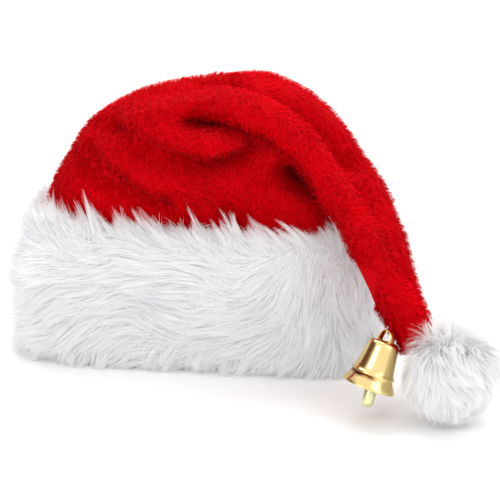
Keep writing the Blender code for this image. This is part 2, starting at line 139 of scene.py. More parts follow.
def goldMaterial(name, colour, roughness, wave):
    # polished thin sheet: nearly a mirror, with faint rolling waves, wiping marks and a painted dark brown
    # reflection and shade in the neck
    material, tree, shader = newMaterial(name)
    place = tree.nodes.new("ShaderNodeTexCoord")
    broad = addNode(tree, "ShaderNodeTexNoise", Scale=90.0, Detail=1.0)
    marks = addNode(tree, "ShaderNodeTexNoise", Scale=900.0, Detail=3.0)
    tree.links.new(place.outputs["Object"], broad.inputs["Vector"])
    tree.links.new(place.outputs["Object"], marks.inputs["Vector"])
    tone = shadeRamp(tree, broad.outputs["Fac"], [
        (0.3, tuple(0.93 * c for c in colour)), (0.7, colour),
    ])
    # the neck's dark brown, laid on where this attribute is set, is a painted reflection and painted shade
    paintedNeckShade = tree.nodes.new("ShaderNodeAttribute")
    paintedNeckShade.attribute_name = "paintedNeckShade"
    mix = tree.nodes.new("ShaderNodeMix")
    mix.data_type = "RGBA"
    mix.inputs[7].default_value = (0.16, 0.035, 0.004, 1)
    tree.links.new(paintedNeckShade.outputs["Fac"], mix.inputs[0])
    tree.links.new(tone, mix.inputs[6])
    tree.links.new(mix.outputs[2], shader.inputs["Base Color"])
    shader.inputs["Metallic"].default_value = 1.0
    rough = tree.nodes.new("ShaderNodeMapRange")
    rough.inputs["To Min"].default_value = roughness * 0.7
    rough.inputs["To Max"].default_value = roughness * 1.5
    tree.links.new(marks.outputs["Fac"], rough.inputs["Value"])
    tree.links.new(rough.outputs["Result"], shader.inputs["Roughness"])
    relief = addNode(tree, "ShaderNodeBump", Strength=wave, Distance=0.0006)
    tree.links.new(broad.outputs["Fac"], relief.inputs["Height"])
    tree.links.new(relief.outputs["Normal"], shader.inputs["Normal"])
    return material


plushHair = hairMaterial(
    "plushHair", [(0.0, (0.12, 0.0, 0.001)), (0.4, (0.46, 0.0, 0.002)), (0.75, (0.78, 0.0, 0.004)),
                  (1.0, (0.95, 0.004, 0.022))],
    roughness=0.8, glow=0.42, sheen=0.26, sheenTint=(1.0, 0.14, 0.22), specular=0.0,
)
plushBacking = clothMaterial(
    "plushBacking", [(0.3, (0.42, 0.0, 0.003)), (0.7, (0.62, 0.001, 0.006))],
    scale=900.0, roughness=0.9, bump=0.5,
)
furHair = hairMaterial(
    "furHair", [(0.0, (0.80, 0.81, 0.835)), (0.4, (0.90, 0.903, 0.915)), (1.0, (0.95, 0.95, 0.955))],
    roughness=0.6, glow=0.5, sheen=0.0, sheenTint=(1.0, 1.0, 1.0), specular=0.1, paintedGlow=0.044,
)
pompomHair = hairMaterial(
    "pompomHair", [(0.0, (0.86, 0.865, 0.88)), (0.4, (0.93, 0.932, 0.94)), (1.0, (0.96, 0.96, 0.962))],
    roughness=0.6, glow=0.5, sheen=0.0, sheenTint=(1.0, 1.0, 1.0), specular=0.05, paintedGlow=0.05,
)
furBacking = clothMaterial(
    "furBacking", [(0.3, (0.66, 0.665, 0.68)), (0.7, (0.76, 0.765, 0.775))],
    scale=700.0, roughness=0.9, bump=0.3,
)
gold = goldMaterial("gold", (0.90, 0.69, 0.30), roughness=0.19, wave=0.15)
paleGold = goldMaterial("paleGold", (0.80, 0.80, 0.46), roughness=0.32, wave=0.05)
print("materials made")


def pieceFrom(bm, name, material, body, levels=0):
    bmesh.ops.recalc_face_normals(bm, faces=bm.faces)
    mesh = bpy.data.meshes.new(name)
    bm.to_mesh(mesh)
    bm.free()
    mesh.shade_smooth()
    return linkPiece(mesh, name, material, body, levels)


def linkPiece(mesh, name, material, body, levels=0):
    mesh.materials.append(material)
    piece = bpy.data.objects.new(name, mesh)
    bpy.context.scene.collection.objects.link(piece)
    if levels:
        smooth = piece.modifiers.new("smooth", "SUBSURF")
        smooth.levels = smooth.render_levels = levels
    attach(piece, body)
    return piece


def mergedCopy(nodeName, join=math.radians(50)):
    # a CAD node's loose triangles, merged and paired into four-sided faces again
    bm = bmesh.new()
    bm.from_mesh(nodes[nodeName].data)
    bmesh.ops.remove_doubles(bm, verts=bm.verts, dist=1e-6)
    bmesh.ops.join_triangles(
        bm, faces=bm.faces, angle_face_threshold=join, angle_shape_threshold=math.radians(120),
    )
    return bm


def islands(bm):
    # groups of faces that hang together
    left, groups = set(bm.faces), []
    while left:
        stack, group = [left.pop()], []
        while stack:
            face = stack.pop()
            group.append(face)
            for edge in face.edges:
                for other in edge.link_faces:
                    if other in left:
                        left.discard(other)
                        stack.append(other)
        groups.append(group)
    return groups


def evaluated(bm, levels):
    # the mesh after subdivision, as plain data to grow hair on
    mesh = bpy.data.meshes.new("skin")
    bm.to_mesh(mesh)
    holder = bpy.data.objects.new("skin", mesh)
    bpy.context.scene.collection.objects.link(holder)
    if levels:
        smooth = holder.modifiers.new("smooth", "SUBSURF")
        smooth.levels = smooth.render_levels = levels
    bpy.context.view_layer.update()
    skin = bpy.data.meshes.new_from_object(holder.evaluated_get(bpy.context.evaluated_depsgraph_get()))
    bpy.data.objects.remove(holder)
    bpy.data.meshes.remove(mesh)
    return skin


def unit(a):
    return a / np.maximum(np.linalg.norm(a, axis=-1, keepdims=True), 1e-9)


def vertexData(mesh, kind):
    data = np.empty(len(mesh.vertices) * 3, np.float32)
    mesh.vertices.foreach_get(kind, data)
    return data.reshape(-1, 3)


def scatter(skin, count, chance, carried=None):
    # points spread evenly over a skin by area, with their normals and a carried value
    skin.calc_loop_triangles()
    corners = np.empty(len(skin.loop_triangles) * 3, np.int32)
    skin.loop_triangles.foreach_get("vertices", corners)
    corners, places, outward = corners.reshape(-1, 3), vertexData(skin, "co"), vertexData(skin, "normal")
    a, b, c = places[corners[:, 0]], places[corners[:, 1]], places[corners[:, 2]]
    area = np.linalg.norm(np.cross(b - a, c - a), axis=1)
    pick = chance.choice(len(corners), count, p=area / area.sum())
    u, v = chance.random((2, count, 1))
    flip = u + v > 1
    u, v = np.where(flip, 1 - u, u), np.where(flip, 1 - v, v)
    carried = np.zeros(len(places)) if carried is None else carried
    mixed = [w[corners[pick, 0]] * (1 - u - v) + w[corners[pick, 1]] * u + w[corners[pick, 2]] * v
             for w in (places, outward, carried[:, None])]
    return mixed[0].astype(float), unit(mixed[1].astype(float)), mixed[2][:, 0]


def comb(roots, outward, ways, lengths, rise, settle, bend, steps):
    # each hair leaves the skin at the angle rise and ends at the angle settle, turning by bend on its way
    side = np.cross(outward, ways)
    lines = [roots]
    for k in range(steps):
        t = (k + 0.5) / steps
        off = (rise + (settle - rise) * t)[:, None]
        turn = (bend * t)[:, None]
        flat = ways * np.cos(turn) + side * np.sin(turn)
        heading = flat * np.cos(off) + outward * np.sin(off)
        lines.append(lines[-1] + heading * (lengths / steps)[:, None])
    return np.stack(lines, axis=1)


def treeOf(points):
    tree = KDTree(len(points))
    for k, point in enumerate(points):
        tree.insert(point, k)
    tree.balance()
    return tree


def gather(lines, count, pull, power, chance):
    # hairs close in on the nearest of some leading hairs, which makes pointed locks
    leaders = chance.choice(len(lines), count, replace=False)
    tree = treeOf(lines[leaders, 0])
    nearest = leaders[[tree.find(line[0])[1] for line in lines]]
    t = np.linspace(0, 1, lines.shape[1]) ** power
    share = pull[:, None] * t[None, :]
    return lines + (lines[nearest] - lines) * share[:, :, None], nearest


def growHair(name, lines, width, outward, shade, material, body, chance, roll=0.45, hug=0.45, tips=0.1):
    # one flat tapered ribbon for each hair, in one mesh
    count, rows = lines.shape[:2]
    along = unit(np.gradient(lines, axis=1))
    across = unit(np.cross(along, outward[:, None, :]))
    face = np.cross(across, along)
    spin = chance.uniform(-roll, roll, count)[:, None, None]
    across, face = across * np.cos(spin) + face * np.sin(spin), face * np.cos(spin) - across * np.sin(spin)
    t = np.linspace(0, 1, rows)
    taper = (0.75 + 0.5 * t) * (1 - t ** 1.8)
    half = across * (width[:, None] * taper[None, :] / 2)[:, :, None]
    edgesOfHair = np.stack([lines[:, :-1] - half[:, :-1], lines[:, :-1] + half[:, :-1]], axis=2)
    places = np.concatenate([edgesOfHair.reshape(count, -1, 3), lines[:, -1:]], axis=1)
    facing = unit(face * (1 - hug) + outward[:, None, :] * hug)
    normals = np.concatenate([np.repeat(facing[:, :-1], 2, axis=1), facing[:, -1:]], axis=1)
    each = 2 * (rows - 1) + 1
    quads = [[2 * k, 2 * k + 1, 2 * k + 3, 2 * k + 2] for k in range(rows - 2)]
    loops = np.array([i for quad in quads for i in quad] + [each - 3, each - 2, each - 1], np.int32)
    totals = np.array([4] * len(quads) + [3], np.int32)
    allLoops = (loops[None, :] + (np.arange(count) * each)[:, None]).ravel().astype(np.int32)
    allTotals = np.tile(totals, count)
    starts = np.concatenate([[0], np.cumsum(allTotals)[:-1]]).astype(np.int32)
    mesh = bpy.data.meshes.new(name)
    mesh.vertices.add(count * each)
    mesh.vertices.foreach_set("co", places.astype(np.float32).ravel())
    mesh.loops.add(len(allLoops))
    mesh.loops.foreach_set("vertex_index", allLoops)
    mesh.polygons.add(len(allTotals))
    mesh.polygons.foreach_set("loop_start", starts)
    mesh.update(calc_edges=True)
    mesh.shade_smooth()
    mesh.normals_split_custom_set_from_vertices(normals.reshape(-1, 3).astype(np.float32))
    tone = mesh.attributes.new("shade", "FLOAT", "POINT")
    # painted shade and light along each hair: by tips, the shade grows darker towards the root and lighter
    # towards the tip
    lift = np.append(np.repeat(t[:-1], 2), 1.0) * 2 * tips - tips
    tone.data.foreach_set("value", np.clip(shade[:, None] + lift[None, :], 0, 1).astype(np.float32).ravel())
    print(name, count, "hairs,", int((allTotals - 2).sum()), "triangles")
    return linkPiece(mesh, name, material, body)


def ripple(points, size, seed):
    # smooth random values between about -1 and 1, for drifting directions and tones
    chance = np.random.default_rng(seed)
    total = np.zeros(len(points))
    for k in range(5):
        wave = unit(chance.normal(size=3)) * (2 * math.pi / size) * chance.uniform(0.6, 1.6)
        total += np.sin(points @ wave + chance.uniform(0, 2 * math.pi))
    return total / 2.2


def between(x, low, high):
    t = np.clip((x - low) / (high - low), 0, 1)
    return t * t * (3 - 2 * t)


# the crown's folds: a line on the cloth, how deep it is pressed in, how wide, and how far it lifts beside it
crown = dict(
    hemZ=0.094, hemClear=0.008, tailX=0.10, levels=2, clothLevels=1, wall=0.0013, dent=0.0006,
    hairs=88000, hair=0.0043, width=0.00058, lie=(0.35, -0.15, -1.0), lieDrift=(0.8, 0.4, 0.5),
    rise=(40, 72), droop=(5, 30), curl=(-0.4, 0.4), tuftOf=10, tuftPull=(0.3, 0.85),
    lit=(0.35, -0.30, 0.88), tone=0.645, litTone=0.18, tuftTone=0.05, patchTone=0.05, creaseShade=0.36,
    toneSpread=0.07, tailShadeTone=0.13, tailShade=(0.055, 0.105),
    folds=[
        dict(depth=0.0095, reach=0.0048, puff=0.0018, lift=0.5, line=[
            (-0.052, -0.008, 0.193), (-0.047, -0.006, 0.192), (-0.042, -0.003, 0.190),
            (-0.034, -0.001, 0.187), (-0.020, -0.002, 0.186), (-0.007, -0.004, 0.184),
            (0.004, -0.003, 0.178), (0.015, -0.003, 0.174), (0.025, -0.005, 0.169),
            (0.032, -0.002, 0.160), (0.040, 0.001, 0.149), (0.049, 0.004, 0.137),
            (0.057, 0.010, 0.122)]),
        dict(depth=0.0048, reach=0.0030, puff=0.0, lift=0.3, line=[
            (-0.047, -0.006, 0.191), (-0.042, -0.003, 0.190), (-0.037, -0.001, 0.188),
            (-0.031, -0.001, 0.187), (-0.022, -0.002, 0.186)]),
        dict(depth=0.0095, reach=0.0065, puff=0.0012, lift=0.2, line=[
            (-0.115, 0.023, 0.185),
            (-0.106, 0.012, 0.181), (-0.091, -0.005, 0.179), (-0.081, -0.011, 0.175),
            (-0.071, -0.012, 0.171), (-0.057, -0.012, 0.166), (-0.043, -0.011, 0.162),
            (-0.031, -0.008, 0.160), (-0.021, -0.007, 0.161), (-0.008, -0.006, 0.164),
            (0.002, -0.005, 0.168), (0.010, -0.003, 0.174), (0.018, -0.005, 0.180)]),
        dict(depth=0.0070, reach=0.0080, puff=0.0010, lift=0.0, line=[
            (-0.129, 0.013, 0.174),
            (-0.121, 0.002, 0.164), (-0.110, -0.007, 0.156), (-0.098, -0.010, 0.147),
            (-0.087, -0.008, 0.138), (-0.073, -0.005, 0.130), (-0.050, -0.004, 0.124)]),
        dict(depth=0.0100, reach=0.0060, puff=0.0022, lift=0.0, line=[
            (-0.051, 0.051, 0.206), (-0.035, 0.044, 0.206), (-0.020, 0.037, 0.205),
            (0.000, 0.025, 0.205), (0.015, 0.022, 0.200), (0.027, 0.023, 0.194),
            (0.038, 0.030, 0.184), (0.056, 0.031, 0.171), (0.072, 0.026, 0.157),
            (0.086, 0.018, 0.147)]),
    ])


def alongLine(points, spacing):
    # a line of points cut into even short steps
    points = np.array(points)
    lengths = np.concatenate([[0], np.cumsum(np.linalg.norm(np.diff(points, axis=0), axis=1))])
    marks = np.linspace(0, lengths[-1], int(lengths[-1] / spacing) + 2)
    return np.stack([np.interp(marks, lengths, points[:, k]) for k in range(3)], axis=1)


def pressFolds(skin):
    # pushes the cloth in along each fold line and lifts it beside the line; gives back how deep each point is
    places, outward = vertexData(skin, "co").astype(float), vertexData(skin, "normal").astype(float)
    skinTree = treeOf(places)
    move, depth = np.zeros_like(places), np.zeros(len(places))
    for fold in crown["folds"]:
        line = alongLine(fold["line"], 0.0015)
        inward = -unit(np.array([outward[[k for _, k, _ in skinTree.find_n(point, 40)]].mean(axis=0)
                                 for point in line]))
        pressed = unit(inward + np.array([0.0, 0.0, fold["lift"]]))
        lineTree = treeOf(line)
        found = [lineTree.find(place) for place in places]
        nearest = np.array([k for _, k, _ in found])
        apart = np.array([d for _, _, d in found]) / fold["reach"]
        t = nearest / (len(line) - 1)
        fade = between(t, 0.0, 0.09) * between(1 - t, 0.0, 0.12)
        push = fade * np.exp(-apart ** 1.3)
        puff = fade * np.exp(-((apart - 2.6) / 1.3) ** 2)
        lowered = pressed[nearest] * (fold["depth"] * push)[:, None]
        move += lowered - inward[nearest] * (fold["puff"] * puff)[:, None]
        depth = np.maximum(depth, push * fold["depth"] / 0.010)
    move += outward * (crown["dent"] * ripple(places, 0.045, 31))[:, None]
    free = between(places[:, 2], crown["hemZ"], crown["hemZ"] + 0.02)
    free = np.maximum(free, between(places[:, 0], 0.09, 0.10))
    tip = between(places[:, 0], 0.145, 0.120)
    places += move * (free * tip)[:, None]
    skin.vertices.foreach_set("co", places.astype(np.float32).ravel())
    skin.update()
    return depth


def crownSkin(levels):
    # the crown's outer wall by itself, to grow plush on
    bm = mergedCopy("crown")
    rim = [f for f in bm.faces if all(abs(v.co.z - crown["hemZ"]) < 2e-4 for v in f.verts)]
    bmesh.ops.delete(bm, geom=rim, context="FACES_ONLY")
    groups = sorted(islands(bm), key=lambda g: -sum(f.calc_area() for f in g))
    bmesh.ops.delete(bm, geom=[f for g in groups[1:] for f in g], context="FACES")
    return evaluated(bm, levels)


def buildCrown():
    chance = np.random.default_rng(21)
    skin = crownSkin(crown["levels"])
    depth = pressFolds(skin)
    cloth = crownSkin(crown["clothLevels"])
    pressFolds(cloth)
    cloth.shade_smooth()
    base = linkPiece(cloth, "crownCloth", plushBacking, "hat")
    wall = base.modifiers.new("wall", "SOLIDIFY")
    wall.thickness, wall.offset = crown["wall"], -1.0
    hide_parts("crown")
    roots, outward, sunk = scatter(skin, int(crown["hairs"] * furShare), chance, depth)
    keep = (roots[:, 2] > crown["hemZ"] + crown["hemClear"]) | (roots[:, 0] > crown["tailX"])
    roots, outward, sunk = roots[keep], outward[keep], sunk[keep]
    ways = np.array(crown["lie"]) + ripple(roots, 0.05, 3)[:, None] * np.array(crown["lieDrift"])
    ways = unit(ways - outward * (ways * outward).sum(axis=1, keepdims=True))
    count = len(roots)
    tuft = ripple(roots, 0.010, 5)
    lengths = crown["hair"] * (1 + 0.06 * tuft + chance.uniform(-0.25, 0.25, count)) * (1 - 0.45 * sunk)
    rise = np.radians(chance.uniform(*crown["rise"], count))
    settle = rise - np.radians(chance.uniform(*crown["droop"], count))
    lines = comb(roots, outward, ways, lengths, rise, settle, chance.uniform(*crown["curl"], count), 2)
    leaders = max(count // crown["tuftOf"], 1)
    lines = gather(lines, leaders, chance.uniform(*crown["tuftPull"], count), 1.0, chance)[0]
    # painted light and shade in the plush tone: lighter where the cloth faces the lit direction, darker in
    # the pressed folds (painted crease shade) and darker towards the tail (painted shade); tufts, patches and
    # spread vary at random
    lit = outward @ unit(np.array(crown["lit"]))
    tone = crown["tone"] + crown["litTone"] * lit + crown["tuftTone"] * tuft
    tone += crown["patchTone"] * ripple(roots, 0.035, 8) - crown["creaseShade"] * sunk
    tone += chance.normal(0, crown["toneSpread"], count)
    tone -= crown["tailShadeTone"] * between(roots[:, 0], *crown["tailShade"])
    width = np.full(count, crown["width"]) * chance.uniform(0.7, 1.2, count)
    half = roots[:, 0] < np.median(roots[:, 0])
    for name, part in (("crownPlushLeft", half), ("crownPlushRight", ~half)):
        growHair(name, lines[part], width[part], outward[part], np.clip(tone, 0, 1)[part], plushHair,
                 "hat", chance, hug=0.6, tips=0.16)


buildCrown()
print("crown made")


band = dict(
    middle=(-0.04444, 0.04577), halfLength=0.119, halfDepth=0.047, height=0.108, levels=1,
    hairs=50000, hair=0.030, width=0.00060, sunkRoots=0.001, rise=(15, 50), settle=(-14, 6), curl=(-0.3, 0.3),
    drift=0.45, looseShare=0.35, loosePull=0.15,
    lockOf=130, lockPull=(0.25, 0.8), tuftOf=8, tuftPull=(0.1, 0.5),
    tone=0.62, lockTone=0.10, tuftTone=0.07, hairTone=0.09, fringeTone=0.7, fringeWidth=0.75, floorGap=0.0004,
    leftEnd=(0.85, 1.0), rightEnd=(0.045, 0.065), topFrom=(0.80, 1.0))
lie = dict(
    level=6, drift=20, stray=6, upward=60, upwardFrom=(0.74, 1.02), downward=46, downwardFrom=0.45,
    rightFrom=(0.45, 0.80), right=-78, rightTop=120, rightTopFrom=(0.86, 1.02), rightStray=10,
    swirls=[(-0.112, 0.030, 0.034, -44.0), (-0.040, 0.046, 0.026, 34.0), (0.010, 0.030, 0.024, -30.0)])
rim = dict(
    start=0.84, hairs=13000, hair=0.014, locks=300, lockReach=0.0025, spikes=(0.019, 0.038),
    leftEnd=(0.45, 0.85), corner=(0.90, 1.02), leftGrowth=(0.008, -0.004), lean=0.62, leanDrift=0.30,
    rise=(5, 35), leftRise=14, settle=(-35, 0), endFall=25, cornerFall=15, curl=(-0.2, 0.5), pull=(0.75, 1.0))
foot = dict(
    start=(0.05, 0.26), hairs=9000, hair=0.010, perHeight=0.8, fall=-66, drift=24,
    rise=(25, 50), settle=(-5, 15), curl=(-0.4, 0.4), lockOf=40, pull=(0.3, 0.9))


def flatBase(nodeName):
    # the CAD node without the points of its locks
    bm = mergedCopy(nodeName, join=0.0)
    points = [v for v in bm.verts if len(v.link_edges) <= 4 and len(v.link_faces) <= 4]
    bmesh.ops.dissolve_verts(bm, verts=points)
    return bm


def bandWays(outward, degrees):
    # directions on the band: 0 goes round the head, towards -X at the front, and 90 goes up
    around = unit(np.stack([outward[:, 1], -outward[:, 0], np.zeros(len(outward))], axis=1))
    rising = unit(np.array([0.0, 0.0, 1.0]) - outward * outward[:, 2:3])
    angle = np.radians(degrees)[:, None]
    return unit(around * np.cos(angle) + rising * np.sin(angle))


def bandLie(roots, outward):
    # how the band's fur is combed: round the head, up at the top, down and to the left at the foot,
    # straight down near its +X end
    x = (roots[:, 0] - band["middle"][0]) / band["halfLength"]
    up = roots[:, 2] / band["height"]
    downFrom = lie["downwardFrom"]
    angle = lie["level"] + lie["upward"] * between(up, *lie["upwardFrom"])
    angle -= lie["downward"] * between(downFrom - up, 0.0, downFrom)
    angle += lie["drift"] * ripple(roots, 0.080, 12) + lie["stray"] * ripple(roots, 0.030, 13)
    for swirlX, swirlZ, reach, turned in lie["swirls"]:
        near = np.exp(-((roots[:, 0] - swirlX) ** 2 + (roots[:, 2] - swirlZ) ** 2) / reach ** 2)
        angle += (turned - angle) * near * (outward[:, 1] < 0)
    right = between(x, *lie["rightFrom"]) * (outward[:, 1] < 0.5)
    fall = lie["right"] + lie["rightTop"] * between(up, *lie["rightTopFrom"])
    fall += lie["rightStray"] * ripple(roots, 0.03, 14)
    angle = angle * (1 - right) + right * fall
    return bandWays(outward, angle)


def bandRoots(skin, count, low, high, chance):
    # roots on the band's outer side between two heights, as shares of its height
    roots, outward, _ = scatter(skin, count * (3 if high - low > 0.5 else 12), chance)
    offX = np.abs(roots[:, 0] - band["middle"][0]) / (band["halfLength"] + 0.0012)
    offY = np.abs(roots[:, 1] - band["middle"][1]) / (band["halfDepth"] + 0.0012)
    up = roots[:, 2] / band["height"]
    keep = (offX ** 4.5 + offY ** 4.5 > 1.0) & (outward[:, 2] > -0.8) & (up >= low) & (up <= high)
    return roots[keep][:count], outward[keep][:count]


def rimLocks(skin, chance):
    # pointed locks that stand over the crown all along the rim, and lean back towards -X at the front
    roots, outward = bandRoots(skin, int(rim["hairs"] * furShare), rim["start"], 1.2, chance)
    count = len(roots)
    away = unit(np.stack([
        (roots[:, 0] - band["middle"][0]) / band["halfLength"] ** 2,
        (roots[:, 1] - band["middle"][1]) / band["halfDepth"] ** 2, np.zeros(count),
    ], axis=1))
    around = np.stack([away[:, 1], -away[:, 0], np.zeros(count)], axis=1)
    leftEnd = between(-(roots[:, 0] - band["middle"][0]) / band["halfLength"], *rim["leftEnd"])
    front = between(-roots[:, 1], -band["middle"][1], 0.0)
    corner = between(-(roots[:, 0] - band["middle"][0]) / band["halfLength"], *rim["corner"])
    lean = rim["lean"] + rim["leanDrift"] * ripple(roots, 0.035, 16)
    ways = unit(np.array([0.0, 0.0, 1.0]) + around * lean[:, None])
    leaders = chance.choice(count, rim["locks"], replace=False)
    leaderTree = treeOf(roots[leaders])
    found = [leaderTree.find(root) for root in roots]
    nearest = leaders[[k for _, k, _ in found]]
    inLock = np.exp(-(np.array([d for _, _, d in found]) / rim["lockReach"]) ** 2)
    spike = chance.uniform(*rim["spikes"], count)[nearest]
    atFront, atBack = rim["leftGrowth"]
    lengths = rim["hair"] + (spike - rim["hair"]) * inLock
    lengths += leftEnd * (atFront * front + atBack * (1 - front))
    lengths = lengths * (1 - 0.5 * corner) * chance.uniform(0.8, 1.1, count)
    rise = np.radians(chance.uniform(*rim["rise"], count) - rim["leftRise"] * leftEnd)
    settle = chance.uniform(*rim["settle"], count) - rim["endFall"] * np.maximum(leftEnd, 1 - front)
    settle = np.radians(settle - rim["cornerFall"] * corner)
    lines = comb(roots, away, ways, lengths, rise, settle, chance.uniform(*rim["curl"], count), 4)
    pull = inLock ** 0.5 * chance.uniform(*rim["pull"], count)
    share = pull[:, None] * (np.linspace(0, 1, lines.shape[1]) ** 0.9)[None, :]
    lines = lines + (lines[nearest] - lines) * share[:, :, None]
    return lines, away


def footFringe(skin, chance):
    # jagged tips that hang down to the surface the hat lies on
    roots, outward = bandRoots(skin, int(foot["hairs"] * furShare), *foot["start"], chance)
    count = len(roots)
    ways = bandWays(outward, foot["fall"] + foot["drift"] * ripple(roots, 0.03, 18))
    lengths = (foot["hair"] + foot["perHeight"] * roots[:, 2]) * chance.uniform(0.6, 1.15, count)
    rise = np.radians(chance.uniform(*foot["rise"], count))
    settle = np.radians(chance.uniform(*foot["settle"], count))
    lines = comb(roots, outward, ways, lengths, rise, settle, chance.uniform(*foot["curl"], count), 4)
    leaders = max(count // foot["lockOf"], 1)
    return gather(lines, leaders, chance.uniform(*foot["pull"], count), 1.2, chance)[0], outward


def buildBand():
    chance = np.random.default_rng(31)
    base = pieceFrom(flatBase("fur_band"), "bandBacking", furBacking, "hat", band["levels"])
    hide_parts("fur_band")
    skin = evaluated(flatBase("fur_band"), band["levels"])
    roots, outward = bandRoots(skin, int(band["hairs"] * furShare), 0.0, 1.2, chance)
    count = len(roots)
    roots = roots - outward * band["sunkRoots"]
    up = roots[:, 2] / band["height"]
    top = between(up, *band["topFrom"])
    lengths = band["hair"] * (1 - 0.25 * top) * chance.uniform(0.65, 1.15, count)
    leftEnd = between(-(roots[:, 0] - band["middle"][0]) / band["halfLength"], *band["leftEnd"])
    rightEnd = between(roots[:, 0], *band["rightEnd"])
    rise = np.radians(chance.uniform(*band["rise"], count) * (1 - 0.45 * leftEnd) + 12 * rightEnd)
    settle = chance.uniform(*band["settle"], count) + 8 * top + 16 * rightEnd * chance.random(count)
    bend = band["drift"] * ripple(roots, 0.06, 15) + chance.uniform(*band["curl"], count)
    lines = comb(roots, outward, bandLie(roots, outward), lengths, rise, np.radians(settle), bend, 4)
    loose = np.where(chance.random(count) < band["looseShare"], band["loosePull"], 1.0)
    locks, tufts = max(count // band["lockOf"], 1), max(count // band["tuftOf"], 1)
    lines, lock = gather(lines, locks, loose * chance.uniform(*band["lockPull"], count), 1.5, chance)
    lines, small = gather(lines, tufts, chance.uniform(*band["tuftPull"], count), 1.1, chance)
    tone = band["tone"] + chance.normal(0, band["lockTone"], count)[lock]
    tone += chance.normal(0, band["tuftTone"], count)[small]
    high, highOut = rimLocks(skin, chance)
    low, lowOut = footFringe(skin, chance)
    lines, outward = np.concatenate([lines, high, low]), np.concatenate([outward, highOut, lowOut])
    tone = np.concatenate([tone, np.full(len(high) + len(low), band["fringeTone"])])
    tone = np.clip(tone + chance.normal(0, band["hairTone"], len(tone)), 0, 1)
    lines[:, :, 2] = np.maximum(lines[:, :, 2], band["floorGap"])
    width = band["width"] * chance.uniform(0.6, 1.3, len(lines))
    width[count:] *= band["fringeWidth"]
    parts = np.digitize(lines[:, 0, 0], np.quantile(lines[:, 0, 0], [1 / 3, 2 / 3]))
    for k in range(3):
        part = parts == k
        growHair("bandFur%d" % (k + 1), lines[part], width[part], outward[part], tone[part],
                 furHair, "hat", chance, tips=0.14)


buildBand()
print("band made")


pompom = dict(
    core=0.022, height=0.037, hairs=21000, hair=0.025, width=0.00048, floorGap=0.0004,
    crest=(-0.50, 0.32, 0.80), raised=(0.55, 0.1, 0.8), rise=(35, 80), settle=(-35, 15), curl=(-0.4, 0.4),
    swirl=0.35, swirlDrift=0.5, wander=(0.3, 0.0, 0.2), raisedFrom=(0.35, 0.9), crestFrom=(0.6, 0.95),
    raisedGrowth=0.24, raisedRise=8, raisedSettle=50, crestRise=10, crestSettle=30,
    looseShare=0.35, loosePull=0.15, lockOf=150, lockPull=(0.1, 0.6), tuftOf=8, tuftPull=(0.2, 0.7),
    tone=0.6, lockTone=0.12, hairTone=0.1,
    bellTop=(0.1089, -0.0833, 0.0578), bellDown=(-0.316, -0.242, -0.917),
    bellFrom=-0.004, bellReach=0.050, bellRoom=0.0125, bellSpread=0.22)


def clearOfBell(lines):
    # strands that would reach into the bell, where its clapper swings, are left out
    halfway = (lines[:, 1:] + lines[:, :-1]) / 2
    points = np.concatenate([lines, halfway], axis=1) - np.array(pompom["bellTop"])
    down = points @ np.array(pompom["bellDown"])
    aside = np.linalg.norm(points - down[:, :, None] * np.array(pompom["bellDown"]), axis=2)
    room = pompom["bellRoom"] + pompom["bellSpread"] * np.maximum(down, 0)
    inside = (down > pompom["bellFrom"]) & (down < pompom["bellReach"]) & (aside < room)
    return ~inside.any(axis=1)


def buildPompom():
    # strands leave a crest under the crown's end, stand out and fall round a small core; some flare up
    chance = np.random.default_rng(41)
    low, high = (Vector(c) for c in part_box("pompom"))
    centre = np.array([(low.x + high.x) / 2, (low.y + high.y) / 2, pompom["height"]])
    bm = bmesh.new()
    bmesh.ops.create_icosphere(bm, subdivisions=4, radius=pompom["core"])
    bmesh.ops.translate(bm, verts=bm.verts, vec=centre)
    skin = evaluated(bm, 0)
    base = pieceFrom(bm, "pompomCore", pompomHair, "hat")
    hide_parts("pompom")
    count = int(pompom["hairs"] * furShare)
    roots, outward, _ = scatter(skin, count, chance)
    crest = unit(np.array(pompom["crest"]))
    turning = pompom["swirl"] + pompom["swirlDrift"] * ripple(roots, 0.03, 22)
    swirl = np.cross(outward, crest) * turning[:, None]
    ways = -crest + swirl + ripple(roots, 0.02, 23)[:, None] * np.array(pompom["wander"])
    ways = unit(ways - outward * (ways * outward).sum(axis=1, keepdims=True))
    raised = between(outward @ unit(np.array(pompom["raised"])), *pompom["raisedFrom"])
    atCrest = between(outward @ crest, *pompom["crestFrom"])
    lengths = pompom["hair"] * chance.uniform(0.6, 1.15, count) * (1 + pompom["raisedGrowth"] * raised)
    rise = chance.uniform(*pompom["rise"], count) + pompom["raisedRise"] * raised
    rise = np.radians(rise + pompom["crestRise"] * atCrest)
    settle = chance.uniform(*pompom["settle"], count)
    settle += pompom["raisedSettle"] * raised * chance.random(count) + pompom["crestSettle"] * atCrest
    curl = chance.uniform(*pompom["curl"], count)
    lines = comb(roots, outward, ways, lengths, rise, np.radians(settle), curl, 5)
    loose = np.where(chance.random(count) < pompom["looseShare"], pompom["loosePull"], 1.0)
    locks, tufts = max(count // pompom["lockOf"], 1), max(count // pompom["tuftOf"], 1)
    lines, lock = gather(lines, locks, loose * chance.uniform(*pompom["lockPull"], count), 1.4, chance)
    lines = gather(lines, tufts, chance.uniform(*pompom["tuftPull"], count), 1.1, chance)[0]
    lines[:, :, 2] = np.maximum(lines[:, :, 2], pompom["floorGap"])
    tone = pompom["tone"] + chance.normal(0, pompom["lockTone"], count)[lock]
    tone = np.clip(tone + chance.normal(0, pompom["hairTone"], count), 0, 1)
    width = pompom["width"] * chance.uniform(0.6, 1.3, count)
    keep = clearOfBell(lines)
    growHair("pompomFur", lines[keep], width[keep], outward[keep], tone[keep], pompomHair,
             "hat", chance, hug=0.3)


buildPompom()
print("pompom made")


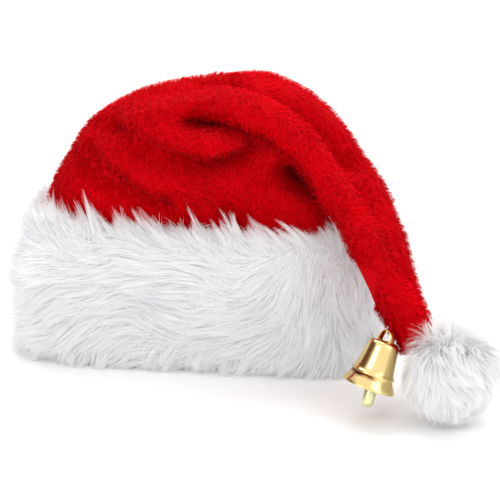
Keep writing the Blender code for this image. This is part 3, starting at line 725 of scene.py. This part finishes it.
bell = dict(tilt=19.0, lean=14.0, pivotDown=0.0060, mouth=0.0195, body=0.0345, wall=0.0010, steps=72,
            archReach=0.0060, archHeight=0.0078, archSunk=0.0006, strap=(0.0027, 0.0006), archTurn=-50.0,
            drop=0.0146, clapperLean=5.0, rod=0.0007, rodTop=-0.0011, ball=0.0045, ballHigh=0.0135,
            threadLoop=(0.0024, 0.0028), thread=0.0005,
            profile=[
                (0.000, 0.00), (0.003, 0.20), (0.012, 0.36), (0.032, 0.47), (0.065, 0.535), (0.11, 0.57),
                (0.20, 0.598), (0.32, 0.628), (0.44, 0.662), (0.56, 0.700), (0.655, 0.738), (0.672, 0.762),
                (0.690, 0.800), (0.712, 0.812), (0.734, 0.800), (0.748, 0.776), (0.768, 0.775),
                (0.82, 0.826), (0.88, 0.893), (0.94, 0.960), (0.975, 0.992), (0.990, 1.000), (1.000, 0.992)])


def bellPlace():
    turn = Euler((-math.radians(bell["lean"]), math.radians(bell["tilt"]), 0.0)).to_matrix()
    pivot = Vector(frame["joints"][0]["pos_m"])
    top = pivot + turn @ Vector((0, 0, bell["pivotDown"]))
    return Matrix.Translation(top) @ turn.to_4x4()


def spun(profile, steps):
    bm = bmesh.new()
    verts = [bm.verts.new((r, 0.0, z)) for r, z in profile]
    edges = [bm.edges.new(pair) for pair in zip(verts, verts[1:])]
    bmesh.ops.spin(
        bm, geom=verts + edges, cent=(0, 0, 0), axis=(0, 0, 1),
        angle=2 * math.pi, steps=steps, use_merge=True,
    )
    bmesh.ops.remove_doubles(bm, verts=bm.verts, dist=1e-6)
    return bm


def strapAlong(path, side, halfSide, halfThick, sides, closed=False):
    # a flat or round wire: oval sections, wide along side, bridged one after the other
    bm = bmesh.new()
    rings, count = [], len(path)
    for k, point in enumerate(path):
        before = path[(k - 1) % count] if closed or k else path[0]
        after = path[(k + 1) % count] if closed or k < count - 1 else path[-1]
        along = (after - before).normalized()
        turn = Matrix((side, along.cross(side), along)).transposed().to_4x4()
        ring = bmesh.ops.create_circle(bm, segments=sides, radius=1.0)["verts"]
        placed = Matrix.Translation(point) @ turn @ Matrix.Diagonal((halfSide, halfThick, 1, 1))
        bmesh.ops.transform(bm, matrix=placed, verts=ring)
        rings.append(ring)
    edgesOf = [list({e for v in ring for e in v.link_edges}) for ring in rings]
    for low, high in list(zip(edgesOf, edgesOf[1:])) + ([(edgesOf[-1], edgesOf[0])] if closed else []):
        bmesh.ops.bridge_loops(bm, edges=low + high)
    if not closed:
        bmesh.ops.holes_fill(bm, edges=bm.edges, sides=0)
    return bm


def paintNeckShade(shell, toBell):
    # painted dark brown reflection and shade in the neck between the bead and the skirt, strongest on the
    # left of the front
    places = vertexData(shell.data, "co") @ np.array(toBell.to_3x3()).T + np.array(toBell.translation)
    down = -places[:, 2] / bell["body"]
    turn = np.degrees(np.arctan2(places[:, 0], -places[:, 1]))
    neckShadeMask = between(down, 0.705, 0.730) * between(-down, -0.800, -0.775)
    neckShadeMask *= between(turn, -105, -80) * between(-turn, -14, 6)
    shell.data.attributes.new("paintedNeckShade", "FLOAT", "POINT").data.foreach_set("value", neckShadeMask.astype(np.float32))


def buildBell():
    place = bellPlace()
    mouth, body, wall = bell["mouth"], bell["body"], bell["wall"]
    outside = [(out * mouth, -down * body) for down, out in bell["profile"]]
    inside = [(max(r - wall, 0.0), min(z, -wall)) for r, z in outside[1:]]
    bm = spun(outside + inside[::-1] + [(0.0, -wall)], bell["steps"])
    bmesh.ops.transform(bm, matrix=place, verts=bm.verts)
    shell = pieceFrom(bm, "bellShell", gold, "hat")
    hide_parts("bell")
    # paints the neck's dark brown reflection and shade onto the shell
    paintNeckShade(shell, place.inverted())
    reach, height, sunk = bell["archReach"], bell["archHeight"], bell["archSunk"]
    arch = [Vector((reach * math.cos(a), 0.0, height * math.sin(a) - sunk))
            for a in np.linspace(0, math.pi, 17)]
    bm = strapAlong(arch, Vector((0, 1, 0)), *bell["strap"], 16)
    turned = Matrix.Rotation(math.radians(bell["archTurn"]), 4, "Z")
    bmesh.ops.transform(bm, matrix=place @ turned, verts=bm.verts)
    pieceFrom(bm, "bellArch", gold, "hat")


def buildClapper():
    hung = Matrix.Rotation(-math.radians(bell["clapperLean"]), 4, "Y")
    place = bellPlace() @ Matrix.Translation((0, 0, -bell["pivotDown"])) @ hung
    low = -(bell["body"] + bell["drop"] - bell["pivotDown"])
    rod, rodTop, ball, high = bell["rod"], bell["rodTop"], bell["ball"], low + bell["ballHigh"]
    shoulder, foot = 0.0018, 0.0046
    drop = [(0.0, rodTop)] + [(rod, z) for z in np.linspace(rodTop, low + 0.0155, 6)]
    drop += [(ball * math.sin(a), high + shoulder * math.cos(a)) for a in np.linspace(0.2, 1.5, 6)]
    drop += [(ball * math.cos(a), low + foot - foot * math.sin(a)) for a in np.linspace(0.0, math.pi / 2, 10)]
    drop[-1] = (0.0, low)
    bm = spun(drop, 32)
    bmesh.ops.transform(bm, matrix=place, verts=bm.verts)
    clapper = pieceFrom(bm, "clapperDrop", paleGold, "clapper")
    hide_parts("bell_clapper")


def buildThread():
    low, high = (Vector(c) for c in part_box("bell_thread"))
    middle = (low + high) / 2
    across, tall = bell["threadLoop"]
    loop = [middle + Vector((0.0, across * math.cos(a), tall * math.sin(a)))
            for a in np.linspace(0, 2 * math.pi, 20, endpoint=False)]
    bm = strapAlong(loop, Vector((1, 0, 0)), bell["thread"], bell["thread"], 8, closed=True)
    thread = pieceFrom(bm, "bellThread", plushBacking, "hat")
    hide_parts("bell_thread")


buildBell()
buildClapper()
buildThread()
print("bell made")


studio = dict(
    floor=6.0, floorWhite=0.96, sky=1.11, aim=(0.0, 0.0, 0.1),
    patch=(-0.88, -0.03, 0.47), patchEnds=(0.80, 0.96), patchColour=(0.11, 0.045, 0.02),
    boxes=[("keyLight", (-0.62, -1.30, 1.05), (0.8, 0.8), 6.0),
           ("fillLight", (1.1, -0.5, 0.9), (0.6, 0.9), 3.0),
           ("topLight", (-0.15, 0.65, 1.40), (1.2, 0.8), 12.0)])


def addFloor():
    bm = bmesh.new()
    bmesh.ops.create_grid(bm, x_segments=1, y_segments=1, size=studio["floor"])
    mesh = bpy.data.meshes.new("floor")
    bm.to_mesh(mesh)
    bm.free()
    floor = bpy.data.objects.new("floor", mesh)
    bpy.context.scene.collection.objects.link(floor)
    material, tree, shader = newMaterial("paleFloor")
    shader.inputs["Base Color"].default_value = (*[studio["floorWhite"]] * 3, 1)
    shader.inputs["Roughness"].default_value = 0.8
    shader.inputs["Specular IOR Level"].default_value = 0.1
    mesh.materials.append(material)


def addSoftbox(name, place, size, power):
    light = bpy.data.objects.new(name, bpy.data.lights.new(name, "AREA"))
    light.data.shape = "RECTANGLE"
    light.data.size, light.data.size_y = size
    light.data.energy = power
    light.location = place
    light.rotation_euler = (Vector(studio["aim"]) - Vector(place)).to_track_quat("-Z", "Y").to_euler()
    bpy.context.scene.collection.objects.link(light)


def addSky():
    # even white surroundings with one soft brown patch at the left, which the bell mirrors
    world = bpy.data.worlds.new("studio")
    bpy.context.scene.world = world
    world.use_nodes = True
    tree = world.node_tree
    background = tree.nodes["Background"]
    background.inputs["Strength"].default_value = studio["sky"]
    place = tree.nodes.new("ShaderNodeTexCoord")
    near = tree.nodes.new("ShaderNodeVectorMath")
    near.operation = "DOT_PRODUCT"
    near.inputs[1].default_value = studio["patch"]
    tree.links.new(place.outputs["Generated"], near.inputs[0])
    colour = shadeRamp(tree, near.outputs["Value"], [
        (studio["patchEnds"][0], (1.0, 1.0, 1.0)), (studio["patchEnds"][1], studio["patchColour"]),
    ])
    tree.links.new(colour, background.inputs["Color"])


addFloor()
addSky()
for box in studio["boxes"]:
    addSoftbox(*box)
bpy.context.scene.view_settings.view_transform = "Standard"
print("studio lit")
